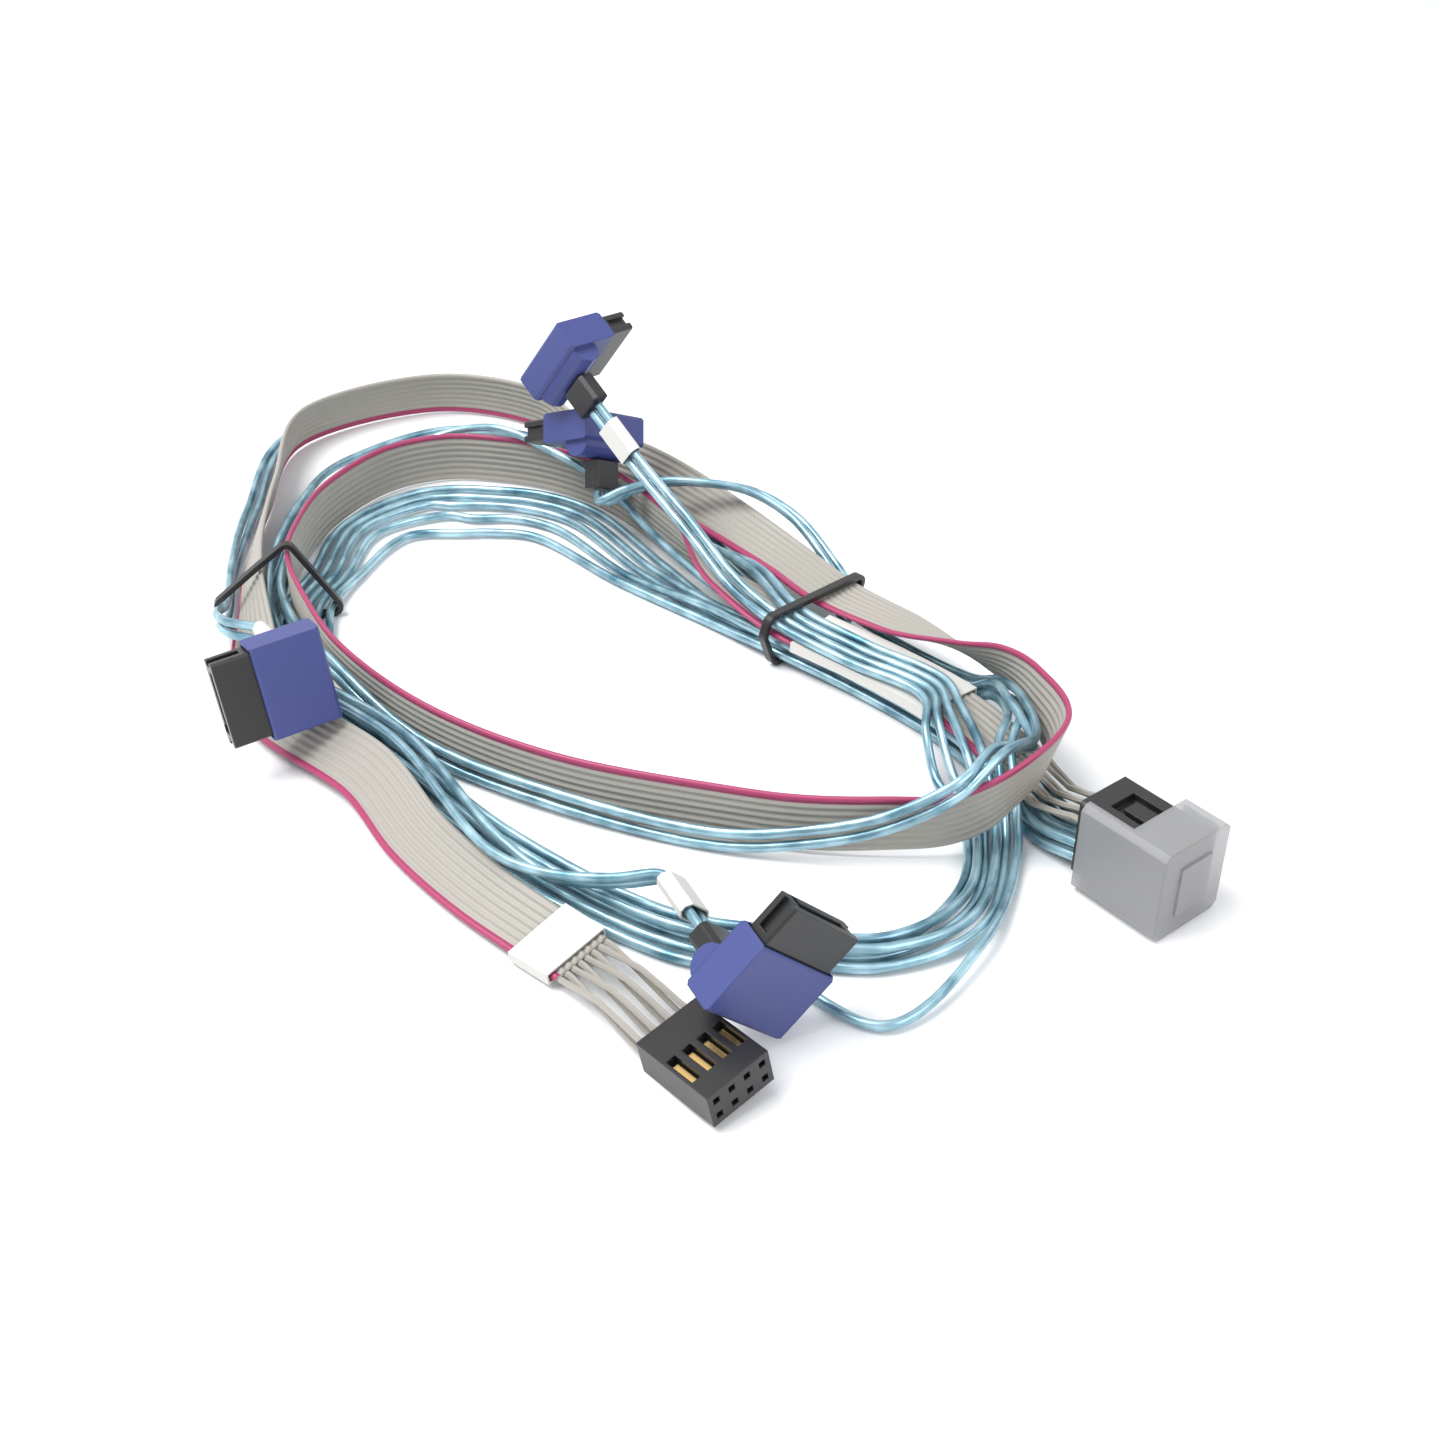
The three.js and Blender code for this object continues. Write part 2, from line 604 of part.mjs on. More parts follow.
// Second lap of the strands that go round again, to head 3 and head 2
const SECOND_LAP = {
  pastTie: { 2: [1.6, 8.6], 5: [3.9, 7.9], 3: [5.1, 1.3], 7: [5.1, 3.8] },
  backRise: { 2: [2.3, 6.5], 5: [4.8, 3.8], 3: [7.6, 1.3], 7: [7.6, 3.9] },
  backRight: { 2: [4.3, 4.2], 5: [4.3, 1.3], 3: [10.2, 1.3], 7: [12.6, 1.6] },
  backMid: { 2: [6.9, 3.8], 5: [7.0, 1.3], 3: [13.8, 1.3], 7: [16.0, 1.3] },
  back: { 2: [16, 1.3], 5: [19, 1.3], 3: [28.5, 1.3], 7: [30.7, 1.3] },
  backLeft: { 2: [17, 1.3], 5: [21, 1.3], 3: [34.5, 1.3], 7: [36.7, 1.3] },
  cornerLeft: { 2: [12, 1.3], 5: [16, 1.3], 3: [32.5, 1.3], 7: [34.7, 1.3] },
  leftUpper: { 2: [6.6, 2.7], 5: [6.6, 5.2], 3: [16.8, 1.3], 7: [19.0, 1.3] },
  left: { 2: [4.4, 4.0], 5: [4.8, 6.6], 3: [13.2, 1.3], 7: [13.2, 3.9] },
  tieLeft: { 2: [4.0, 3.9], 5: [4.0, 6.5], 3: [11.7, 1.4], 7: [11.7, 4.0] },
  underHead: { 2: [4.1, 4.0], 5: [6.3, 4.0] },
  frontLeft: { 2: [5.4, 6.3], 5: [7.6, 6.6] },
  frontStart: { 2: [4.0, 6.5], 5: [6.5, 7.0] },
  frontMid: { 2: [16.4, 5.8], 5: [19.6, 6.2] },
};

// Ribbon: [outside, height, turn]
const RIBBON_FIRST = {
  ribbonStart: [0, 6.3, 180],
  labelEnd: [-0.5, 6.3, 180],
  labelMid: [-2.0, 6.1, 180],
  tieRight: [-3.4, 5.9, 180],
  pastTie: [-3.0, 7.6, 162],
  backRise: [-0.8, 7.0, 93],
  backRight: [0, 5.6, 90],
  backMid: [0, 5.5, 90],
  back: [0, 5.5, 90],
  backLeft: [0, 5.5, 90],
  cornerLeft: [0, 5.5, 90],
  leftUpper: [0, 6.0, 90],
  left: [0, 8.0, 90],
  tieLeft: [0, 8.2, 90],
  underHead: [0, 8.2, 90],
  frontLeft: [0, 6.4, 90],
  frontStart: [0, 5.5, 90],
  frontMid: [0, 5.5, 90],
  front: [0, 5.5, 90],
  frontHalf: [0, 5.6, 90],
  frontRight: [0, 6.4, 88],
  curveStart: [0, 7.2, 84],
  curveFront: [0, 10.6, 80],
  curve: [0, 12.8, 74],
  curveBack: [0.5, 11.6, 86],
  curveOut: [2.2, 10.8, 108],
  curveEnd: [4.0, 9.5, 135],
  nearTie: [7.0, 8.2, 172],
  tieRightAgain: [7.8, 7.2, 180],
};

const RIBBON_SECOND = {
  pastTie: [10.8, 7.0, 184],
  backRise: [10.2, 7.6, 200],
  backRight: [9.4, 6.2, 235],
  backMid: [11.2, 5.6, 256],
  back: [24.5, 5.5, 278],
  backLeft: [31.0, 5.4, 284],
  cornerLeft: [28.5, 5.4, 286],
  leftUpper: [13.0, 5.4, 290],
  left: [9.0, 5.5, 296],
  tieLeft: [7.2, 5.6, 302],
  underHead: [10.0, 4.2, 326],
  frontLeft: [13.5, 4.0, 332],
  frontStart: [12.8, 4.2, 332],
};

// Flat run of the ribbon after the tie, to the label by the header: [x, y, height, turn]
const RIBBON_END = [
  [-45.0, -34.0, 2.9, 340],
  [-35.0, -45.5, 2.5, 345],
  [-26.0, -54.0, 2.4, 350],
  [-18.8, -60.5, 2.6, 354],
];

const TIE_LIFT = 0.9;
const TIES = ['tieRight', 'tieRightAgain', 'tieLeft'];

function lift(name) {
  return TIES.includes(name) ? TIE_LIFT : 0;
}

// Smooth curve through points given one by one, drawn evenly from point to point
class StationCurve extends THREE.Curve {
  constructor(points) {
    super();
    const places = points.map((place) => new THREE.Vector3(...place));
    this.through = new THREE.CatmullRomCurve3(places, false, 'centripetal');
  }

  getPoint(t, target = new THREE.Vector3()) {
    return this.through.getPoint(t, target);
  }

  getPointAt(u, target) {
    return this.getPoint(u, target);
  }

  getTangentAt(u, target) {
    return this.getTangent(u, target);
  }
}

function roundSection(diameter, sides) {
  const shape = new THREE.Shape();
  for (let i = 0; i < sides; i += 1) {
    const angle = ((i + 0.5) / sides) * 2 * Math.PI;
    const x = (Math.cos(angle) * diameter) / 2;
    const y = (Math.sin(angle) * diameter) / 2;
    if (i === 0) {
      shape.moveTo(x, y);
    } else {
      shape.lineTo(x, y);
    }
  }
  shape.closePath();
  return shape;
}

function tube(points, diameter, sides, stepsEach) {
  return new THREE.ExtrudeGeometry(roundSection(diameter, sides), {
    steps: (points.length - 1) * stepsEach,
    extrudePath: new StationCurve(points),
    bevelEnabled: false,
  });
}

// Where each strand goes after its last station: the head's number, its side on that head, and the
// places of the pair's middle on the way there
const HEAD_RUNS = [
  { head: 1, strands: [4, 1], run: [[2.2, 26.4, 10.6], [-5.0, 37.0, 15.0]], lead: [12, 8, 4] },
  { head: 2, strands: [7, 3], run: [[-86.6, 22.0, 5.9], [-82.6, 15.0, 8.4]], lead: [12, 8, 4] },
  { head: 3, strands: [2, 5], run: [[-24.0, -47.0, 6.2], [-14.5, -50.6, 8.2]], lead: [12, 8, 4] },
  {
    head: 4,
    strands: [8, 6],
    run: [
      [22.6, 36.5, 3.4], [19.4, 44.5, 5.6], [13.8, 51.6, 9.6], [6.0, 56.0, 12.6],
      [-2.0, 57.4, 13.6], [-10.0, 58.4, 13.4], [-17.0, 57.0, 12.4], [-21.4, 56.6, 10.4],
    ],
    lead: [1.6],
  },
];
const PAIR_PITCH = 2.3;

function headPoint(headNumber, x, y, z) {
  const head = HEADS[headNumber - 1];
  const ex = new THREE.Vector3(...head.x).normalize();
  const ey = new THREE.Vector3(...head.y);
  ey.addScaledVector(ex, -ey.dot(ex)).normalize();
  const ez = new THREE.Vector3().crossVectors(ex, ey);
  const point = new THREE.Vector3(...head.place);
  point.addScaledVector(ex, x).addScaledVector(ey, y).addScaledVector(ez, z);
  return point.toArray();
}

function headDirection(headNumber) {
  const head = HEADS[headNumber - 1];
  return new THREE.Vector3(...head.x).normalize();
}

function headEnd(strand) {
  const found = HEAD_RUNS.find((entry) => entry.strands.includes(strand));
  const side = (found.strands.indexOf(strand) - 0.5) * PAIR_PITCH;
  const across = headDirection(found.head).multiplyScalar(side).toArray();
  const points = found.run.map((place) => place.map((value, i) => value + across[i]));
  for (const distance of found.lead) {
    points.push(headPoint(found.head, side, RIDGE_AT, BOOT_END + CLEARANCE + distance));
  }
  points.push(headPoint(found.head, side, RIDGE_AT, BOOT_END + CLEARANCE));
  return points;
}

function strandRoute(strand) {
  const points = [];
  for (const [name, lanes] of Object.entries(FIRST_LAP)) {
    if (lanes[strand - 1]) {
      const [offset, height] = lanes[strand - 1];
      points.push(atStation(name, offset, height + lift(name)));
    }
  }
  for (const [name, lanes] of Object.entries(SECOND_LAP)) {
    if (strand in lanes) {
      const [offset, height] = lanes[strand];
      points.push(atStation(name, offset, height + lift(name)));
    }
  }
  return [...points, ...headEnd(strand)];
}

function addStrands() {
  for (let strand = 1; strand <= 8; strand += 1) {
    addMesh(`strand_${strand}`, tube(strandRoute(strand), STRAND_D, STRAND_SIDES, STRAND_STEPS), 'foil');
  }
}

// Ribbon: middle, direction across it toward the red edge, at each station
function ribbonStations() {
  const rows = [];
  const push = (name, [offset, height, turn]) => {
    const angle = THREE.MathUtils.degToRad(turn);
    const [nx, ny] = outward(name);
    rows.push({
      place: atStation(name, offset, height + lift(name)),
      side: [nx * Math.cos(angle), ny * Math.cos(angle), Math.sin(angle)],
    });
  };
  Object.entries(RIBBON_FIRST).forEach(([name, row]) => push(name, row));
  Object.entries(RIBBON_SECOND).forEach(([name, row]) => push(name, row));
  RIBBON_END.forEach(([x, y, height, turn], i) => {
    const before = i === 0 ? rows[rows.length - 1].place : RIBBON_END[i - 1];
    const after = RIBBON_END[Math.min(i + 1, RIBBON_END.length - 1)];
    const heading = new THREE.Vector2(after[0] - before[0], after[1] - before[1]).normalize();
    const angle = THREE.MathUtils.degToRad(turn);
    rows.push({
      place: [x, y, height],
      side: [heading.y * Math.cos(angle), -heading.x * Math.cos(angle), Math.sin(angle)],
    });
  });
  return rows;
}

// Frames along the ribbon at a share of its stations: middle, direction across and face direction
function ribbonFrame(curve, sides, t) {
  const middle = curve.getPoint(t);
  const forward = curve.getTangent(t);
  const across = sides.getPoint(t);
  across.addScaledVector(forward, -across.dot(forward)).normalize();
  const face = new THREE.Vector3().crossVectors(across, forward);
  return { middle, across, face };
}

function bandAlong(curve, sides, from, to, steps, width, thickness) {
  const positions = [];
  const corners = [[1, 1], [-1, 1], [-1, -1], [1, -1]];
  for (let i = 0; i <= steps; i += 1) {
    const frame = ribbonFrame(curve, sides, from + ((to - from) * i) / steps);
    for (const [a, b] of corners) {
      const corner = frame.middle.clone();
      corner.addScaledVector(frame.across, (a * width) / 2);
      corner.addScaledVector(frame.face, (b * thickness) / 2);
      positions.push(corner.x, corner.y, corner.z);
    }
  }
  const faces = [];
  const count = corners.length;
  for (let i = 0; i < steps; i += 1) {
    for (let k = 0; k < count; k += 1) {
      const a = i * count + k;
      const b = i * count + ((k + 1) % count);
      faces.push(a, b + count, b, a, a + count, b + count);
    }
  }
  const end = steps * count;
  faces.push(0, 1, 2, 0, 2, 3, end, end + 2, end + 1, end, end + 3, end + 2);
  const geometry = new THREE.BufferGeometry();
  geometry.setAttribute('position', new THREE.Float32BufferAttribute(positions, 3));
  geometry.setIndex(faces);
  return geometry;
}

const RIBBON_ROWS = ribbonStations();
const RIBBON_CURVE = new StationCurve(RIBBON_ROWS.map((row) => row.place));
const RIBBON_SIDES = new StationCurve(RIBBON_ROWS.map((row) => row.side));

// Labels wrap the ribbon, from one count of its stations to another
const LAST_ROW = RIBBON_ROWS.length - 1;
const LABELS = {
  ribbon_label_plug: [1.05, 2.75],
  ribbon_label_header: [LAST_ROW - 0.9, LAST_ROW - 0.1],
};

// How many stations the label's hollow runs on for at both ends together
const LABEL_OVERRUN = 0.2;

function label(span) {
  const [from, to] = span.map((count) => count / LAST_ROW);
  const inner = 2 * LABEL_GAP;
  const outer = inner + 2 * LABEL_T;
  const spare = LABEL_OVERRUN / LAST_ROW;
  const skin = solidFrom(bandAlong(
    RIBBON_CURVE, RIBBON_SIDES, from, to, 6, RIBBON_W + outer, RIBBON_T + outer,
  ));
  const hollow = solidFrom(bandAlong(
    RIBBON_CURVE, RIBBON_SIDES, from - spare / 2, to + spare / 2, 7, RIBBON_W + inner, RIBBON_T + inner,
  ));
  return geometryFrom(skin.subtract(hollow));
}

function addRibbon() {
  const steps = LAST_ROW * RIBBON_STEPS;
  addMesh('ribbon', bandAlong(RIBBON_CURVE, RIBBON_SIDES, 0, 1, steps, RIBBON_W, RIBBON_T), 'ribbon');
  for (const [name, span] of Object.entries(LABELS)) {
    addMesh(name, label(span), 'paper');
  }
}

// Single wires between the ribbon's conductors and a connector
function conductorPlace(frame, i, away) {
  const offset = (i - (CONDUCTORS - 1) / 2) * CONDUCTOR_PITCH;
  const along = new THREE.Vector3().crossVectors(frame.face, frame.across);
  return frame.middle.clone().addScaledVector(frame.across, offset).addScaledVector(along, away);
}

function addWireFan(name, frame, away, ends, rise) {
  ends.forEach((end, i) => {
    const start = conductorPlace(frame, i, away * CLEARANCE).toArray();
    const second = conductorPlace(frame, i, away * WIRE_LEAD).toArray();
    const middle = between(second, end[0], 0.5, rise(i));
    addMesh(`${name}_${i + 1}`, tube([start, second, middle, ...end], WIRE_D, WIRE_SIDES, 2), 'ribbon');
  });
}

function between(from, to, share, rise) {
  return from.map((value, i) => value + (to[i] - value) * share + (i === 2 ? rise : 0));
}

function groupPoint(item, x, y, z) {
  const ex = new THREE.Vector3(...item.x).normalize();
  const ey = new THREE.Vector3(...item.y);
  ey.addScaledVector(ex, -ey.dot(ex)).normalize();
  const ez = new THREE.Vector3().crossVectors(ex, ey);
  const point = new THREE.Vector3(...item.place);
  point.addScaledVector(ex, x).addScaledVector(ey, y).addScaledVector(ez, z);
  return point.toArray();
}

function addWires() {
  const first = ribbonFrame(RIBBON_CURVE, RIBBON_SIDES, 0);
  const plugEnds = [];
  for (let i = 0; i < CONDUCTORS; i += 1) {
    // The red conductor is the last one across, on the plug's left
    const x = ((CONDUCTORS - 1) / 2 - i) * PLUG_WIRE_PITCH;
    const z = PLUG_WIRE_Z + (i % 2) * PLUG_WIRE_ROWS;
    plugEnds.push([
      groupPoint(PLUG, x, PLUG_L + PLUG_WIRE_STRAIGHT, z),
      groupPoint(PLUG, x, PLUG_L + CLEARANCE, z),
    ]);
  }
  addWireFan('plug_wire', first, -1, plugEnds, () => -PLUG_WIRE_SAG);

  const last = ribbonFrame(RIBBON_CURVE, RIBBON_SIDES, 1);
  const headerEnds = [];
  for (let i = 0; i < CONDUCTORS; i += 1) {
    const column = Math.floor(i / 2);
    const z = HEADER_H / 2 + (i % 2 === 0 ? -PIN_PITCH / 2 : PIN_PITCH / 2);
    const x = headerColumnX(HEADER_COLUMNS - 1 - column);
    headerEnds.push([
      groupPoint(HEADER, x, HEADER_L + HEADER_WIRE_STRAIGHT, z),
      groupPoint(HEADER, x, HEADER_L + CLEARANCE, z),
    ]);
  }
  addWireFan('header_wire', last, 1, headerEnds, (i) => (i % 2) * HEADER_WIRE_RISE);
}

// Sleeves round each pair of strands behind a head's boot
const SLEEVED_HEADS = [1, 2, 3];
const SLEEVE_FROM = 4.4;

function addSleeves() {
  for (const headNumber of SLEEVED_HEADS) {
    const head = HEADS[headNumber - 1];
    const group = placedGroup(head.place, head.x, head.y);
    const from = BOOT_END + SLEEVE_FROM;
    const outer = new THREE.ExtrudeGeometry(chamferedShape(SLEEVE_W, SLEEVE_T, SLEEVE_EDGE), {
      depth: SLEEVE_L,
      bevelEnabled: false,
    });
    outer.translate(0, RIDGE_AT, from);
    const bore = chamferedShape(SLEEVE_W - 2 * SLEEVE_WALL, SLEEVE_T - 2 * SLEEVE_WALL, SLEEVE_HOLLOW_EDGE);
    const hollow = new THREE.ExtrudeGeometry(bore, {
      depth: SLEEVE_L + 2 * OVERCUT,
      bevelEnabled: false,
    });
    hollow.translate(0, RIDGE_AT, from - OVERCUT);
    const sleeve = solidFrom(outer).subtract(solidFrom(hollow));
    addMesh(`sleeve_${headNumber}`, geometryFrom(sleeve), 'paper', group);
  }
}

// Ties: a band drawn tight round the outermost cables of the bundle, square to it. Each of these is
// [distance to the outside, height, radius of the band's inside there].
const ROUND_STRAND = STRAND_D / 2 + CLEARANCE;
const ROUND_EDGE = RIBBON_T / 2 + CLEARANCE;
const TIE_HOLDS = {
  tie_1: {
    at: 'tieLeft',
    round: [
      [-6.5, 2.2, ROUND_STRAND], [0.0, 14.2, ROUND_EDGE], [4.5, 10.9, ROUND_EDGE],
      [11.8, 4.9, ROUND_STRAND], [11.8, 2.3, ROUND_STRAND],
    ],
  },
  tie_2: {
    at: 'tieRight',
    round: [
      [-6.7, 2.2, ROUND_STRAND], [-8.7, 6.8, ROUND_EDGE], [-7.7, 8.6, ROUND_STRAND],
      [3.0, 8.4, ROUND_EDGE], [13.0, 8.2, ROUND_EDGE], [10.1, 2.3, ROUND_STRAND],
    ],
  },
};
const TIE_ARC = 16;

// Closed line drawn tight round circles, as far out as grow
function tightLine(circles, grow) {
  const points = [];
  for (const [x, y, radius] of circles) {
    for (let k = 0; k < TIE_ARC; k += 1) {
      const angle = (k / TIE_ARC) * 2 * Math.PI;
      points.push([x + (radius + grow) * Math.cos(angle), y + (radius + grow) * Math.sin(angle)]);
    }
  }
  points.sort((p, q) => p[0] - q[0] || p[1] - q[1]);
  const turns = (o, p, q) => (p[0] - o[0]) * (q[1] - o[1]) - (p[1] - o[1]) * (q[0] - o[0]);
  const half = (list) => {
    const kept = [];
    for (const point of list) {
      while (kept.length >= 2 && turns(kept[kept.length - 2], kept[kept.length - 1], point) <= 1e-6) {
        kept.pop();
      }
      kept.push(point);
    }
    kept.pop();
    return kept;
  };
  const line = [...half(points), ...half(points.slice().reverse())];
  return line.map(([x, y]) => new THREE.Vector2(x, y));
}

function addTies() {
  for (const [name, tie] of Object.entries(TIE_HOLDS)) {
    const [nx, ny] = outward(tie.at);
    const group = placedGroup([...GUIDE[tie.at], 0], [nx, ny, 0], [0, 0, 1]);
    const shape = new THREE.Shape(tightLine(tie.round, TIE_T));
    shape.holes.push(new THREE.Path(tightLine(tie.round, 0)));
    const band = new THREE.ExtrudeGeometry(shape, { depth: TIE_BAND, bevelEnabled: false });
    band.translate(0, 0, -TIE_BAND / 2);
    addMesh(name, band, 'black', group);
  }
}

addHeads();
addHeader();
addPlug();
addStrands();
addRibbon();
addWires();
addSleeves();
addTies();
model.position.set(...ORIGIN.map((value) => -value));

export default model;
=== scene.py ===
# Looks of the coiled breakout cable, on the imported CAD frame.
import json
import math

import bpy
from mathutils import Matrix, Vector


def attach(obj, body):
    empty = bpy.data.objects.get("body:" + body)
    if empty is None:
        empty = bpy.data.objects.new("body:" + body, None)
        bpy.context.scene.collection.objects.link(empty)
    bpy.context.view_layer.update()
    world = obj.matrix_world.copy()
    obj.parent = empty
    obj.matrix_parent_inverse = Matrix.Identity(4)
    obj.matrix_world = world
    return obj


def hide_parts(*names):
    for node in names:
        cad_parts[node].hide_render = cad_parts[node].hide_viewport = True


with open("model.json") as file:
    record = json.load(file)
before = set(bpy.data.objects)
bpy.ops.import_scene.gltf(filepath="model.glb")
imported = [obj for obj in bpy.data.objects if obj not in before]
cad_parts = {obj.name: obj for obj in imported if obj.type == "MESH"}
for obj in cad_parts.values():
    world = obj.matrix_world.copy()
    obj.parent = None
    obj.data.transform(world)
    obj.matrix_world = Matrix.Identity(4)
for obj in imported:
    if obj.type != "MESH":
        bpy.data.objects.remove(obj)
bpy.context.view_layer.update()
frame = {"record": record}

MM = 0.001

# Place of the CAD origin in the frame of the route tables, in millimetres
ORIGIN = Vector((-11.76, 15.82, 0))

# Cables, in millimetres
STRANDS = 8
STRAND_WIDE = 1.65
STRAND_THIN = 1.4
# Painted highlight streaks per mm along the strand and per turn round it, and how much they count beside
# the patches
FOIL_HIGHLIGHT_STREAKS = (0.22, 9.0, 1.0)
FOIL_HIGHLIGHT_SHARE = 0.6
STRAND_SIDES = 18
STRAND_STEPS = 12
CONDUCTORS = 8
CONDUCTOR_PITCH = 1.27
CONDUCTOR_R = 0.46
RIBBON_WEB = 0.2
RIBBON_STEPS = 14
LOBE_STEPS = 6
TIE_LIFT = 0.9
TIES = ("tieRight", "tieRightAgain", "tieLeft")
CLEARANCE = 0.3
PAIR_PITCH = 2.3
RIDGE_AT = 3.5
BOOT_END = 14.1

# Shortest stretch and parameter step that the spline is worked out with
SHORTEST = 1e-4
TANGENT_STEP = 1e-3

# Looks: waves per metre, and depths in metres, as the nodes take them
GRAIN_WAVES = 2500
GRAIN_DEPTH = 0.00005
ROUND_OFF = 0.0003
FOIL_PATCH_WAVES = 160
FOIL_DEPTH = 0.0002
CAP_ALPHA = 0.62
CAP_GLOW = 0.3
CAP_GLOW_DEPTH = 0.002
CAP_WAVES = 600
CAP_ROUND_OFF = 0.0005
PAPER_WAVES = 400
WAVE_DEPTH = 0.0001

# Stage
FLOOR_SIZE = 6
SOFT_SKY = 0.75
CAMERA_LENS = 45
CAMERA_SENSOR = 36
CAMERA_PLACE = Vector((0, -242.5, 169.8))
CAMERA_TILT = 55

# The route tables are those of the part's source: millimetres, from the drawing's own origin
GUIDE = {
    "plug": [54.6, -37.27],
    "plugNear": [49.5, -31.0],
    "ribbonStart": [45.5, -19.0],
    "labelEnd": [38.0, -5.0],
    "labelMid": [27.0, 9.5],
    "tieRight": [14.5, 21.5],
    "pastTie": [4.0, 33.5],
    "backRise": [-8.0, 50.0],
    "backRight": [-22.0, 71.0],
    "backMid": [-33.0, 79.5],
    "back": [-44.0, 83.5],
    "backLeft": [-55.0, 84.5],
    "cornerLeft": [-65.5, 79.5],
    "leftUpper": [-74.5, 64.0],
    "left": [-76.5, 45.0],
    "tieLeft": [-75.5, 31.0],
    "underHead": [-70.0, 18.0],
    "frontLeft": [-63.0, 7.0],
    "frontStart": [-46.5, -10.0],
    "frontMid": [-25.0, -23.5],
    "front": [0.0, -31.5],
    "frontHalf": [12.0, -34.2],
    "frontRight": [24.0, -35.5],
    "curveStart": [34.0, -35.5],
    "curveFront": [42.0, -33.5],
    "curve": [50.5, -23.5],
    "curveBack": [48.5, -9.0],
    "curveOut": [44.5, -2.5],
    "curveEnd": [38.5, 2.5],
    "nearTie": [26.0, 11.5],
    "tieRightAgain": [14.5, 21.5],
}

